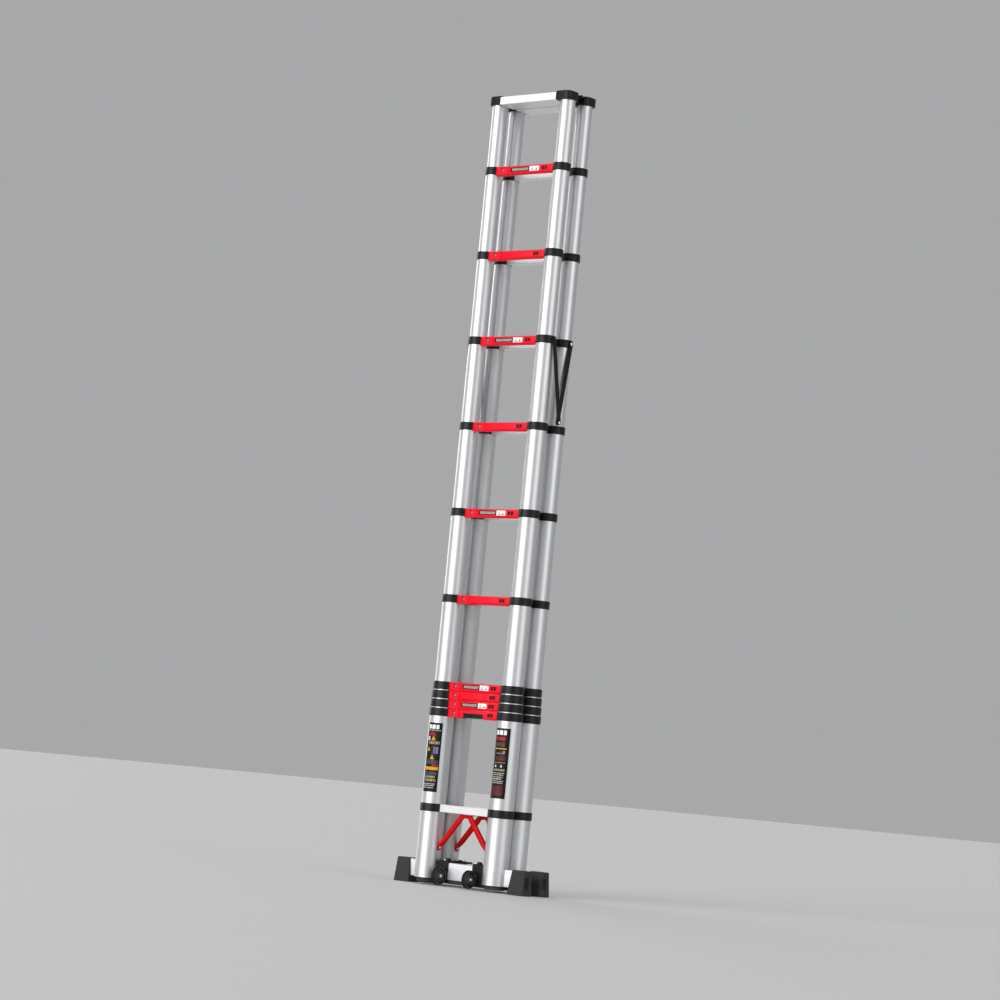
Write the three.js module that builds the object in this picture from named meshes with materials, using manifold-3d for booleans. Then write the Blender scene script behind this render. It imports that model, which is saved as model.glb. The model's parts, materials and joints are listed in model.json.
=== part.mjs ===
// Telescopic double ladder: two identical telescoping ladders, hinged together at the top,
// standing closed. Stages 2 to 4 are pushed down onto stage 1, stages 5 to 11 are drawn out.
// Millimetres, +Z up, origin on the floor under the middle of the whole object.
import * as THREE from 'three';
import { mergeVertices } from 'three/addons/utils/BufferGeometryUtils.js';
import Module from 'manifold-3d';

const wasm = await Module();
wasm.setup();

// Driving dimensions
const STAGES = 11;
const STACKED_STAGES = 4;              // stages that stand pushed together, from the bottom
const RAIL_SPACING = 302.5;            // between the two tube axes of one ladder
const LADDER_SPACING = 94;             // between the tube planes of the two ladders
const MID_PLANE_Y = 11.48;             // the hinge plane; this centres the object, wheels included
const RUNG_PITCH = 300;                // from rung to rung on drawn-out stages
const STACK_PITCH = 30.5;              // from rung to rung on pushed-down stages
const LOWEST_COLLAR_Z = 588;           // middle of the collar at the top of stage 1
const LOWER_RUNG_Z = 261.3;            // middle of the fixed rung below it
const TOP_TUBE_DIAMETER = 53.9;
const TUBE_STEP = 3.15;                // each stage down is this much wider
const TUBE_WALL = 1.2;
const TUBE_LENGTH = 430;
const TUBE_BOTTOM_Z = 22;
const TUBE_SIDES = 12;
const COLLAR_THICKNESS = 2.9;
const COLLAR_HEIGHT = 27.2;
const RUNG_DEPTH = 30;

const TREAD = { halfWidth: 124, outer: 35.5, inner: 41, bottom: 2710.5, top: 2739 };
const CAP = { radius: 30.5, flank: 28.7, shoulder: 8, outer: 33.5, bottom: 2713, top: 2743, socketTop: 2738 };
const KNUCKLE = { radius: 5.5, length: 22, startX: 128, z: 2737, pinRadius: 2.5, bore: 2.9 };

const BAR = { halfLength: 270, depth: 28, bottom: 22, top: 80, wall: 2, offset: 10 };
const BRACKET = { inner: 54, outer: 107.5, halfDepth: 18.5, bottom: 10, top: 86 };
const SKID = { depth: 22, bottom: 9, plugRadius: 36, plugBottom: 8, plugTop: 21.7, neck: 10 };
const FOOT = {
  height: 82.4,
  top: { inner: 228, outer: 284.5, halfDepth: 18 },
  bottom: { inner: 219.5, outer: 286.5, halfDepth: 27 },
};
const WHEEL = { radius: 31, width: 16, bore: 4.4, x: 67, z: 33.5, reach: 36, sides: 24, recessRise: 18 };
const FORK = { thickness: 3, gap: 1, halfHeight: 8, pinRadius: 4, headRadius: 6, headLength: 3 };
const BRACE = { topX: 18, topZ: 241.5, endX: 106, endZ: 128, width: 22, depth: 6, strip: 3, pad: 3.2 };
const SPREADER = { pivotZ: 1880, drop: 280, width: 18, thickness: 3, topX: 189.2, frontX: 206, rearX: 199 };
const SPREADER_PIN = { radius: 4, headRadius: 5.5, headLength: 2.5, inner: 185.1 };
const RELEASE = { halfWidth: 43, height: 15.5, thickness: 4, proud: 1.5, pocketDepth: 6, side: 0.5 };

const GAP = 0.3;                       // between separate pieces
const OVERLAP = 0.2;                   // where shapes are joined into one piece

const material = (color, roughness, metalness) =>
  new THREE.MeshStandardMaterial({ color, roughness, metalness });
const aluminium = material(0xd9dadc, 0.32, 0.9);
const redPlastic = material(0xf02339, 0.45, 0.0);
const redPaint = material(0xc80a18, 0.4, 0.2);
const blackPlastic = material(0x1c1c1d, 0.55, 0.0);
const blackRubber = material(0x202021, 0.85, 0.0);
const blackSteel = material(0x262627, 0.5, 0.6);

const ladder = new THREE.Group();

// Solids

function solidOf(geometry) {
  geometry.deleteAttribute('normal');
  geometry.deleteAttribute('uv');
  const merged = mergeVertices(geometry, 1e-4);
  return new wasm.Manifold(new wasm.Mesh({
    numProp: 3,
    vertProperties: Float32Array.from(merged.attributes.position.array),
    triVerts: Uint32Array.from(merged.index.array),
  }));
}

function box([x0, x1], [y0, y1], [z0, z1]) {
  const geometry = new THREE.BoxGeometry(Math.abs(x1 - x0), Math.abs(y1 - y0), z1 - z0);
  return solidOf(geometry.translate((x0 + x1) / 2, (y0 + y1) / 2, (z0 + z1) / 2));
}

// An upright prism whose flats face X and Y.
function post(x, y, radius, [z0, z1]) {
  const geometry = new THREE.CylinderGeometry(radius, radius, z1 - z0, TUBE_SIDES, 1, false, Math.PI / TUBE_SIDES);
  return solidOf(geometry.rotateX(Math.PI / 2).translate(x, y, (z0 + z1) / 2));
}

// A round pin along X.
function pin([x0, x1], y, z, radius, sides = 12) {
  const geometry = new THREE.CylinderGeometry(radius, radius, Math.abs(x1 - x0), sides);
  return solidOf(geometry.rotateZ(Math.PI / 2).translate((x0 + x1) / 2, y, z));
}

// A block with a rectangular foot and a smaller rectangular top.
function taperedBlock(bottom, top, height) {
  const geometry = new THREE.BoxGeometry(1, 1, height);
  const position = geometry.attributes.position;
  for (let i = 0; i < position.count; i += 1) {
    const ring = position.getZ(i) > 0 ? top : bottom;
    position.setXY(i, position.getX(i) > 0 ? ring.x[1] : ring.x[0], position.getY(i) > 0 ? ring.y[1] : ring.y[0]);
  }
  return solidOf(geometry.translate(0, 0, height / 2));
}

// A flat outline in the XZ plane, made thick along Y about y.
function plateXZ(points, y, depth) {
  const shape = new THREE.Shape(points.map(([x, z]) => new THREE.Vector2(x, z)));
  const geometry = new THREE.ExtrudeGeometry(shape, { depth, bevelEnabled: false });
  return solidOf(geometry.rotateX(Math.PI / 2).translate(0, y + depth / 2, 0));
}

const join = (solids) => solids.reduce((all, next) => all.add(next));
const cut = (solid, tools) => tools.reduce((left, tool) => left.subtract(tool), solid);

function addPart(name, solid, finish) {
  const { vertProperties, triVerts } = solid.getMesh();
  const geometry = new THREE.BufferGeometry();
  geometry.setAttribute('position', new THREE.BufferAttribute(Float32Array.from(vertProperties), 3));
  geometry.setIndex(Array.from(triVerts));
  geometry.computeVertexNormals();
  const mesh = new THREE.Mesh(geometry, finish);
  mesh.name = name;
  ladder.add(mesh);
}

// Measures that follow from the driving dimensions

const twoDigits = (number) => String(number).padStart(2, '0');
const tubeRadius = (stage) => (TOP_TUBE_DIAMETER + TUBE_STEP * (STAGES - stage)) / 2;
const railX = (side) => (side * RAIL_SPACING) / 2;
const around = (middle, height) => [middle - height / 2, middle + height / 2];

function collarZ(stage) {
  const stacked = Math.min(stage, STACKED_STAGES) - 1;
  const drawn = Math.max(stage - STACKED_STAGES, 0);
  return LOWEST_COLLAR_Z + stacked * STACK_PITCH + drawn * RUNG_PITCH;
}

// The tube of one stage. Stage 1 reaches the floor end and is slotted for the stabiliser bar.
function tube(stage, side, railY) {
  const top = stage === STAGES ? CAP.socketTop - GAP : collarZ(stage) + COLLAR_HEIGHT / 2;
  const bottom = stage === 1 ? TUBE_BOTTOM_Z : top - TUBE_LENGTH;
  const x = railX(side);
  const bore = post(x, railY, tubeRadius(stage) - TUBE_WALL, [bottom - 1, top + 1]);
  const shell = post(x, railY, tubeRadius(stage), [bottom, top]).subtract(bore);
  if (stage > 1) return shell;
  const halfSlot = BAR.depth / 2 + GAP;
  const slotY = railY + BAR.offset;
  const reach = tubeRadius(stage) + 1;
  return shell.subtract(box([x - reach, x + reach], [slotY - halfSlot, slotY + halfSlot],
    [bottom - 1, BAR.top + GAP]));
}

// A straight rung with a collar round the tube at each end.
function collaredRung(stage, middleZ, railY, fit) {
  const z = around(middleZ, COLLAR_HEIGHT);
  const outer = tubeRadius(stage) + COLLAR_THICKNESS;
  const reach = RAIL_SPACING / 2 - outer + COLLAR_THICKNESS;
  const beam = box([-reach, reach], around(railY, RUNG_DEPTH), z);
  const collars = [-1, 1].map((side) => post(railX(side), railY, outer, z));
  const bores = [-1, 1].map((side) => post(railX(side), railY, tubeRadius(stage) + fit, [z[0] - 1, z[1] + 1]));
  return cut(join([beam, ...collars]), bores);
}

// The shallow pocket at the bottom edge of the lowest moving rung, which holds the release bar.
function releasePocket(railY, outward) {
  const face = railY + (outward * RUNG_DEPTH) / 2;
  const bottom = LOWEST_COLLAR_Z - COLLAR_HEIGHT / 2;
  const halfWidth = RELEASE.halfWidth + RELEASE.side;
  return box([-halfWidth, halfWidth], [face + outward, face - outward * RELEASE.pocketDepth],
    [bottom - 1, bottom + RELEASE.height + RELEASE.side]);
}

function releaseBar(railY, outward) {
  const face = railY + outward * (RUNG_DEPTH / 2 + RELEASE.proud);
  const bottom = LOWEST_COLLAR_Z - COLLAR_HEIGHT / 2;
  return box([-RELEASE.halfWidth, RELEASE.halfWidth], [face, face - outward * RELEASE.thickness],
    [bottom, bottom + RELEASE.height]);
}

// Hinge knuckle on a tab. The front ladder's knuckles carry the pin, the rear ones its bores.
function knuckles(railY, outward) {
  const isFront = outward < 0;
  const start = KNUCKLE.startX + (isFront ? 0 : KNUCKLE.length + 1);
  const tabZ = [KNUCKLE.z - KNUCKLE.radius, KNUCKLE.z + KNUCKLE.radius - 1];
  return [-1, 1].map((side) => {
    const x = [side * start, side * (start + KNUCKLE.length)];
    const barrel = pin(x, MID_PLANE_Y, KNUCKLE.z, KNUCKLE.radius);
    const tab = box(x, [MID_PLANE_Y + outward, railY], tabZ);
    const pinX = [side * start, side * (start + 2 * KNUCKLE.length)];
    return isFront
      ? join([barrel, tab, pin(pinX, MID_PLANE_Y, KNUCKLE.z, KNUCKLE.pinRadius, 8)])
      : join([barrel, tab]).subtract(pin([x[0] - side, x[1] + side], MID_PLANE_Y, KNUCKLE.z, KNUCKLE.bore));
  });
}

// The wide top tread with its end caps, which sit over the tubes of the last stage.
function topTread(railY, outward, fit) {
  const board = box([-TREAD.halfWidth, TREAD.halfWidth],
    [railY + outward * TREAD.outer, railY - outward * TREAD.inner], [TREAD.bottom, TREAD.top]);
  const z = [CAP.bottom, CAP.top];
  const caps = [-1, 1].flatMap((side) => {
    const x = railX(side);
    const inner = side * (TREAD.halfWidth - 1);
    return [
      post(x, railY, CAP.radius, z),
      box([inner, x + side * CAP.shoulder], [railY + outward * CAP.outer, railY - outward * CAP.radius], z),
      box([inner, x + side * CAP.flank], around(railY, CAP.radius), z),
    ];
  });
  const socketTop = CAP.socketTop;
  const sockets = [-1, 1].map((side) =>
    post(railX(side), railY, tubeRadius(STAGES) + fit, [TREAD.bottom - 1, socketTop]));
  return cut(join([board, ...caps, ...knuckles(railY, outward)]), sockets);
}

// The inverted V of two braces that hang from a strip under the lower rung.
function bracePair(railY, fit) {
  const { topX, topZ, endX, endZ, width, depth, strip, pad } = BRACE;
  const stripTop = LOWER_RUNG_Z - COLLAR_HEIGHT / 2 - fit;
  const lean = Math.atan2(endX - topX, topZ - endZ);
  const half = width / 2 / Math.cos(lean);
  const arms = [-1, 1].flatMap((side) => {
    const outline = [[topX - half, topZ], [topX + half, topZ], [endX, endZ + width / 2], [endX, endZ - width / 2]];
    const face = RAIL_SPACING / 2 - tubeRadius(1) * Math.cos(Math.PI / TUBE_SIDES) - fit;
    return [
      plateXZ(outline.map(([x, z]) => [side * x, z]), railY, depth),
      box([side * (face - pad), side * face], around(railY, width), around(endZ, width)),
      box([side * (endX - 1), side * (face - pad + 0.5)], around(railY, depth), around(endZ, width)),
    ];
  });
  const bridge = box([-topX - half, topX + half], around(railY, depth), [topZ - 0.5, stripTop]);
  const flange = box([-topX - half, topX + half], around(railY, width), [stripTop - strip, stripTop]);
  return join([...arms, bridge, flange]);
}

// Stabiliser: a hollow bar through both tubes, with a clamp bracket beside each tube, a skid
// strip underneath and a plug below each tube.
function stabiliser(railY, withForks) {
  const y = railY + BAR.offset;
  const shell = box([-BAR.halfLength, BAR.halfLength], around(y, BAR.depth), [BAR.bottom, BAR.top]);
  const hollow = box([-BAR.halfLength - 1, BAR.halfLength + 1], around(y, BAR.depth - 2 * BAR.wall),
    [BAR.bottom + BAR.wall, BAR.top - BAR.wall]);
  const brackets = [-1, 1].map((side) => box([side * BRACKET.inner, side * BRACKET.outer],
    [y - BRACKET.halfDepth, y + BRACKET.halfDepth], [BRACKET.bottom, BRACKET.top]));
  const plugs = [-1, 1].flatMap((side) => [
    post(railX(side), railY, SKID.plugRadius, [SKID.plugBottom, SKID.plugTop]),
    box(around(railX(side), 2 * SKID.neck), around(y, SKID.neck), [SKID.plugTop - 1, BAR.bottom + 1]),
  ]);
  const skid = box([-BRACKET.inner - 1, BRACKET.inner + 1], around(y, SKID.depth), [SKID.bottom, BAR.bottom + 1]);
  const bar = join([shell, skid, ...plugs, ...brackets]).subtract(hollow);
  if (!withForks) return bar;
  const forks = [-1, 1].flatMap((side) => wheelFork(side, railY));
  return join([cut(bar, [-1, 1].map((side) => wheelRecess(side, y))), ...forks]);
}

// The slot in a bracket's front wall that the back of the wheel turns in.
function wheelRecess(side, barY) {
  const x = side * WHEEL.x;
  const halfWidth = WHEEL.width / 2 + FORK.gap;
  return box([x - halfWidth, x + halfWidth], [barY - BRACKET.halfDepth - 1, barY - BAR.depth / 2],
    [BRACKET.bottom - 1, WHEEL.z + WHEEL.recessRise]);
}

// Two arms with round ends that carry the wheel's axle pin in front of the bracket.
function wheelFork(side, railY) {
  const x = side * WHEEL.x;
  const axleY = railY - WHEEL.reach;
  const bracketFace = railY + BAR.offset - BRACKET.halfDepth;
  const offset = WHEEL.width / 2 + FORK.gap;
  const arms = [-1, 1].flatMap((end) => {
    const arm = [x + end * offset, x + end * (offset + FORK.thickness)];
    const head = [x + end * offset, x + end * (offset + FORK.thickness + FORK.headLength)];
    return [
      box(arm, [axleY, bracketFace + 1], around(WHEEL.z, 2 * FORK.halfHeight)),
      pin(arm, axleY, WHEEL.z, FORK.halfHeight, 16),
      pin(head, axleY, WHEEL.z, FORK.headRadius),
    ];
  });
  return [...arms, pin([x - offset - 1, x + offset + 1], axleY, WHEEL.z, FORK.pinRadius)];
}

function wheel(side, railY) {
  const y = railY - WHEEL.reach;
  const x = side * WHEEL.x;
  const tyre = pin([x - WHEEL.width / 2, x + WHEEL.width / 2], y, WHEEL.z, WHEEL.radius, WHEEL.sides);
  return tyre.subtract(pin([x - WHEEL.width, x + WHEEL.width], y, WHEEL.z, WHEEL.bore));
}

// A flared block foot with a pocket for the end of the bar.
function foot(side, railY) {
  const y = railY + BAR.offset;
  const ring = ({ inner, outer, halfDepth }) => ({
    x: side > 0 ? [inner, outer] : [-outer, -inner],
    y: [y - halfDepth, y + halfDepth],
  });
  const pocket = box([side * (FOOT.bottom.inner - 1), side * (BAR.halfLength + GAP)],
    around(y, BAR.depth + 2 * GAP), [BAR.bottom - GAP, BAR.top + GAP]);
  return taperedBlock(ring(FOOT.bottom), ring(FOOT.top), FOOT.height).subtract(pocket);
}

// One half of a folding spreader. It hangs from a collar's side and leans out and inwards
// to the middle plane, where it would be pinned to the other half.
function spreaderLink(side, outward) {
  const isFront = outward < 0;
  const { drop, width, thickness, topX, frontX, rearX } = SPREADER;
  const length = Math.hypot(LADDER_SPACING / 2, drop);
  const lean = ((isFront ? frontX : rearX) - topX) / length;
  const geometry = new THREE.BoxGeometry(thickness, width, length + width);
  geometry.translate(0, 0, -length / 2);
  const position = geometry.attributes.position;
  for (let i = 0; i < position.count; i += 1) {
    position.setX(i, side * (topX + position.getX(i) - lean * position.getZ(i)));
  }
  if (side < 0) geometry.index.array.reverse();
  geometry.rotateX(-outward * Math.atan2(LADDER_SPACING / 2, drop));
  const pivotY = MID_PLANE_Y + (outward * LADDER_SPACING) / 2;
  const strap = solidOf(geometry.translate(0, pivotY, SPREADER.pivotZ));
  const head = topX + thickness / 2 + SPREADER_PIN.headLength;
  return join([
    strap,
    pin([side * SPREADER_PIN.inner, side * topX], pivotY, SPREADER.pivotZ, SPREADER_PIN.radius, 8),
    pin([side * topX, side * head], pivotY, SPREADER.pivotZ, SPREADER_PIN.headRadius, 10),
  ]);
}

// The front ladder, piece by piece

const frontY = MID_PLANE_Y - LADDER_SPACING / 2;
const rearY = MID_PLANE_Y + LADDER_SPACING / 2;
const sideName = (side) => (side < 0 ? 'left' : 'right');

for (let stage = 1; stage <= STAGES; stage += 1) {
  for (const side of [-1, 1]) {
    addPart(`front_tube_${sideName(side)}_${twoDigits(stage)}`, tube(stage, side, frontY), aluminium);
  }
  if (stage < STAGES) {
    const rung = collaredRung(stage, collarZ(stage), frontY, GAP);
    const solid = stage === 1 ? rung.subtract(releasePocket(frontY, -1)) : rung;
    addPart(`front_rung_${twoDigits(stage)}`, solid, redPlastic);
  }
}
addPart('front_top_tread', topTread(frontY, -1, GAP), aluminium);
addPart('front_lower_rung', collaredRung(1, LOWER_RUNG_Z, frontY, GAP), aluminium);
addPart('front_brace_pair', bracePair(frontY, GAP), redPaint);
addPart('front_release_bar', releaseBar(frontY, -1), blackPlastic);

// The rear ladder, one joined frame for each stage

for (let stage = 1; stage <= STAGES; stage += 1) {
  const tubes = [-1, 1].map((side) => tube(stage, side, rearY));
  const crossPiece = stage === STAGES
    ? topTread(rearY, 1, -OVERLAP)
    : collaredRung(stage, collarZ(stage), rearY, -OVERLAP);
  const frame = join([...tubes, crossPiece]);
  const solid = stage > 1 ? frame : join([
    frame.subtract(releasePocket(rearY, 1)),
    collaredRung(1, LOWER_RUNG_Z, rearY, -OVERLAP),
    bracePair(rearY, -OVERLAP),
  ]);
  addPart(`rear_stage_frame_${twoDigits(stage)}`, solid, aluminium);
}
addPart('rear_release_bar', releaseBar(rearY, 1), blackPlastic);

// Feet, stabilisers, wheels and spreaders

for (const [end, railY] of [['front', frontY], ['rear', rearY]]) {
  addPart(`${end}_stabiliser_bar`, stabiliser(railY, end === 'front'), aluminium);
  for (const side of [-1, 1]) {
    addPart(`${end}_foot_${sideName(side)}`, foot(side, railY), blackRubber);
    addPart(`${end}_spreader_${sideName(side)}`, spreaderLink(side, end === 'front' ? -1 : 1), blackSteel);
  }
}
for (const side of [-1, 1]) {
  addPart(`wheel_${sideName(side)}`, wheel(side, frontY), blackRubber);
}

export default ladder;
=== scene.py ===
"""Looks of the telescopic double ladder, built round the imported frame.

Lengths in the building code are millimetres; Shape turns them into metres.
"out" is the side a ladder faces: -1 for the front ladder, +1 for the rear one.
"""
import json
import math

import bmesh
import bpy
from mathutils import Matrix, Vector


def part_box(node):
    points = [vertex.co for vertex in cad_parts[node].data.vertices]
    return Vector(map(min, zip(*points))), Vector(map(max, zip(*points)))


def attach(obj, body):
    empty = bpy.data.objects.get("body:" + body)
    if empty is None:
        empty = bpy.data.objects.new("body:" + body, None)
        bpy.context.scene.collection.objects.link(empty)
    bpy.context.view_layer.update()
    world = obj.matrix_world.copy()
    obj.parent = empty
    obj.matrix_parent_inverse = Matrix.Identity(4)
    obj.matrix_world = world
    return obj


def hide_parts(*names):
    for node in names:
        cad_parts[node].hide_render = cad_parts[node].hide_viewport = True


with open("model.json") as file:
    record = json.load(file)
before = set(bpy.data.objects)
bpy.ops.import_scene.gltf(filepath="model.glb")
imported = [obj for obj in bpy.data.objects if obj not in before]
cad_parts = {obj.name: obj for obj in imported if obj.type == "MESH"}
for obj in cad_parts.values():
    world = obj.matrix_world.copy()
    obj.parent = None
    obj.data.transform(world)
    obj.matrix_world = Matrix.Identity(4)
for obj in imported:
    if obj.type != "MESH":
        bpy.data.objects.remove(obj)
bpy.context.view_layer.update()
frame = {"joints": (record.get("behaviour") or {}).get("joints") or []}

MM = 0.001
STAGES = 11
CAD_FLAT = math.cos(math.pi / 12)      # the frame's tubes have twelve sides, flats on the axes
WALL = 1.2                             # of a tube
LIP = 1.8                              # the collar's lip over the end of its tube
ROUND = 72                             # sides of a turned tube


# ---------------------------------------------------------------- finishes

def rgb(red, green, blue):
    """A colour given as screen values from 0 to 255."""
    return tuple((c / 255 / 12.92) if c < 11 else ((c / 255 + 0.055) / 1.055) ** 2.4
                 for c in (red, green, blue)) + (1.0,)


def shade(color, factor):
    """A lighter or darker version of a colour."""
    return tuple(min(1.0, c * factor) for c in color[:3]) + (1.0,)


def make_finish(name, color, roughness, metallic=0.0, grain=(400, 400, 400), tint=0.06, spread=0.05,
                bump=0.0, coat=0.0, wear=0.0, specular=0.5):
    """A procedural material: cloudy colour, fine grain in roughness and relief, worn edges."""
    finish = bpy.data.materials.new(name)
    finish.use_nodes = True
    nodes, links = finish.node_tree.nodes, finish.node_tree.links
    shader = nodes["Principled BSDF"]
    coords = nodes.new("ShaderNodeTexCoord")

    def noise(scale, detail):
        mapping = nodes.new("ShaderNodeMapping")
        mapping.inputs["Scale"].default_value = scale
        texture = nodes.new("ShaderNodeTexNoise")
        texture.inputs["Scale"].default_value = 1.0
        texture.inputs["Detail"].default_value = detail
        links.new(coords.outputs["Object"], mapping.inputs["Vector"])
        links.new(mapping.outputs["Vector"], texture.inputs["Vector"])
        return texture.outputs["Fac"]

    cloudy = noise((14, 14, 5), 3)
    fine = noise(grain, 4)
    ramp = nodes.new("ShaderNodeValToRGB")
    ramp.color_ramp.elements[0].position = 0.3
    ramp.color_ramp.elements[1].position = 0.7
    ramp.color_ramp.elements[0].color = shade(color, 1 - tint)
    ramp.color_ramp.elements[1].color = shade(color, 1 + tint)
    blend = nodes.new("ShaderNodeMath")
    blend.operation = "MULTIPLY_ADD"
    blend.inputs[1].default_value = 0.5
    links.new(cloudy, blend.inputs[0])
    half = nodes.new("ShaderNodeMath")
    half.operation = "MULTIPLY"
    half.inputs[1].default_value = 0.5
    links.new(fine, half.inputs[0])
    links.new(half.outputs[0], blend.inputs[2])
    links.new(blend.outputs[0], ramp.inputs["Fac"])
    base = ramp.outputs["Color"]
    if wear:
        base = worn_edges(nodes, links, base, shade(color, 1 + wear))
    links.new(base, shader.inputs["Base Color"])

    rough = nodes.new("ShaderNodeMapRange")
    rough.inputs["From Min"].default_value = 0.3
    rough.inputs["From Max"].default_value = 0.7
    rough.inputs["To Min"].default_value = roughness - spread
    rough.inputs["To Max"].default_value = roughness + spread
    links.new(fine, rough.inputs["Value"])
    links.new(rough.outputs["Result"], shader.inputs["Roughness"])
    if bump:
        relief = nodes.new("ShaderNodeBump")
        relief.inputs["Strength"].default_value = bump
        relief.inputs["Distance"].default_value = 0.0004
        links.new(fine, relief.inputs["Height"])
        links.new(relief.outputs["Normal"], shader.inputs["Normal"])
    shader.inputs["Metallic"].default_value = metallic
    shader.inputs["Specular IOR Level"].default_value = specular
    shader.inputs["Coat Weight"].default_value = coat
    shader.inputs["Coat Roughness"].default_value = 0.25
    finish.diffuse_color = color
    return finish


def worn_edges(nodes, links, base, light):
    """Mixes a lighter colour in where the surface turns within a millimetre."""
    soft = nodes.new("ShaderNodeBevel")
    soft.samples = 4
    soft.inputs["Radius"].default_value = 0.0012
    plain = nodes.new("ShaderNodeNewGeometry")
    dot = nodes.new("ShaderNodeVectorMath")
    dot.operation = "DOT_PRODUCT"
    links.new(soft.outputs["Normal"], dot.inputs[0])
    links.new(plain.outputs["Normal"], dot.inputs[1])
    edge = nodes.new("ShaderNodeMapRange")
    edge.inputs["From Min"].default_value = 0.995
    edge.inputs["From Max"].default_value = 0.90
    links.new(dot.outputs["Value"], edge.inputs["Value"])
    mix = nodes.new("ShaderNodeMix")
    mix.data_type = "RGBA"
    links.new(edge.outputs["Result"], mix.inputs["Factor"])
    links.new(base, mix.inputs["A"])
    mix.inputs["B"].default_value = light
    return mix.outputs["Result"]


TUBE = make_finish("tube_anodised", rgb(212, 213, 215), 0.43, 0.95, (700, 700, 60),
                   0.03, 0.06, 0.05)
EXTRUDED = make_finish("profile_anodised", rgb(240, 241, 243), 0.42, 0.75, (60, 900, 900),
                       0.03, 0.06, 0.05)
RED_COVER = make_finish("red_moulding", rgb(255, 6, 40), 0.46, 0.0, (700, 700, 700),
                        0.05, 0.05, 0.06, wear=0.2, specular=0.22)
RED_PAINT = make_finish("red_powder_coat", rgb(204, 0, 3), 0.48, 0.0, (1100, 1100, 1100),
                        0.06, 0.06, 0.12, wear=0.2, specular=0.15)
COLLAR = make_finish("collar_moulding", rgb(12, 13, 13), 0.42, 0.0, (800, 800, 800),
                     0.12, 0.07, 0.08, wear=2.5, specular=0.28)
BLACK = make_finish("black_moulding", rgb(12, 12, 13), 0.48, 0.0, (900, 900, 900), 0.12, 0.07, 0.12,
                    wear=2.5, specular=0.28)
RUBBER = make_finish("black_rubber", rgb(56, 57, 57), 0.72, 0.0, (600, 600, 600), 0.14, 0.08, 0.20,
                     wear=0.9, specular=0.22)
TYRE = make_finish("tyre_rubber", rgb(20, 20, 20), 0.6, 0.0, (600, 600, 600),
                   0.14, 0.08, 0.15, specular=0.25)
# grey painted on the wheels' ring ridges as a highlight; the tyre rubber itself is black
RIDGE_HIGHLIGHT = make_finish("ridge_highlight_grey", rgb(128, 128, 126), 0.5, 0.0, (900, 900, 900), 0.15, 0.08, 0.1)
STRAP = make_finish("black_steel", rgb(12, 12, 14), 0.45, 0.2, (700, 700, 700), 0.10, 0.08, 0.08,
                    wear=1.2, specular=0.35)
ZINC = make_finish("zinc_bolt", rgb(240, 240, 236), 0.30, 0.9, (1500, 1500, 1500), 0.05, 0.08, 0.05)
WINDOW = make_finish("grey_window", rgb(72, 62, 54), 0.3, 0.0, (900, 900, 900),
                     0.08, 0.05, coat=0.5)
BUTTON = make_finish("grey_button", rgb(150, 134, 120), 0.4, 0.0, (900, 900, 900), 0.08, 0.05)
PRINT_GRAIN = (500, 500, 500)
PRINT = {name: make_finish("print_" + name, rgb(*color), 0.42, 0.0, PRINT_GRAIN, 0.10, 0.05,
                           specular=0.25)
         for name, color in {
             "black": (10, 10, 11), "white": (246, 246, 244), "grey": (206, 202, 194),
             "dark": (78, 78, 78), "red": (178, 14, 24), "wine": (92, 30, 30),
             "yellow": (226, 164, 12), "beige": (168, 150, 118), "mauve": (128, 118, 150)}.items()}


# ---------------------------------------------------------------- building shapes

def circle(radius, steps):
    """Points round a circle, anticlockwise."""
    return [(radius * math.cos(a), radius * math.sin(a))
            for a in (2 * math.pi * i / steps for i in range(steps))]


def rounded_box(x, y, radius, steps=5):
    """A rectangle with round corners, anticlockwise. x and y are (low, high)."""
    points = []
    centres = [(x[1] - radius, y[1] - radius), (x[0] + radius, y[1] - radius),
               (x[0] + radius, y[0] + radius), (x[1] - radius, y[0] + radius)]
    for turn, (cx, cy) in enumerate(centres):
        for i in range(steps + 1):
            a = math.pi / 2 * (turn + i / steps)
            points.append((cx + radius * math.cos(a), cy + radius * math.sin(a)))
    return points


def stadium(length, radius, steps=10):
    """A strap's outline from 0 to length, with round ends beyond both."""
    ends = [(0, math.pi / 2), (length, -math.pi / 2)]
    angles = [(cx, start + math.pi * i / steps) for cx, start in ends for i in range(steps + 1)]
    return [(cx + radius * math.cos(a), radius * math.sin(a)) for cx, a in angles]


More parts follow.
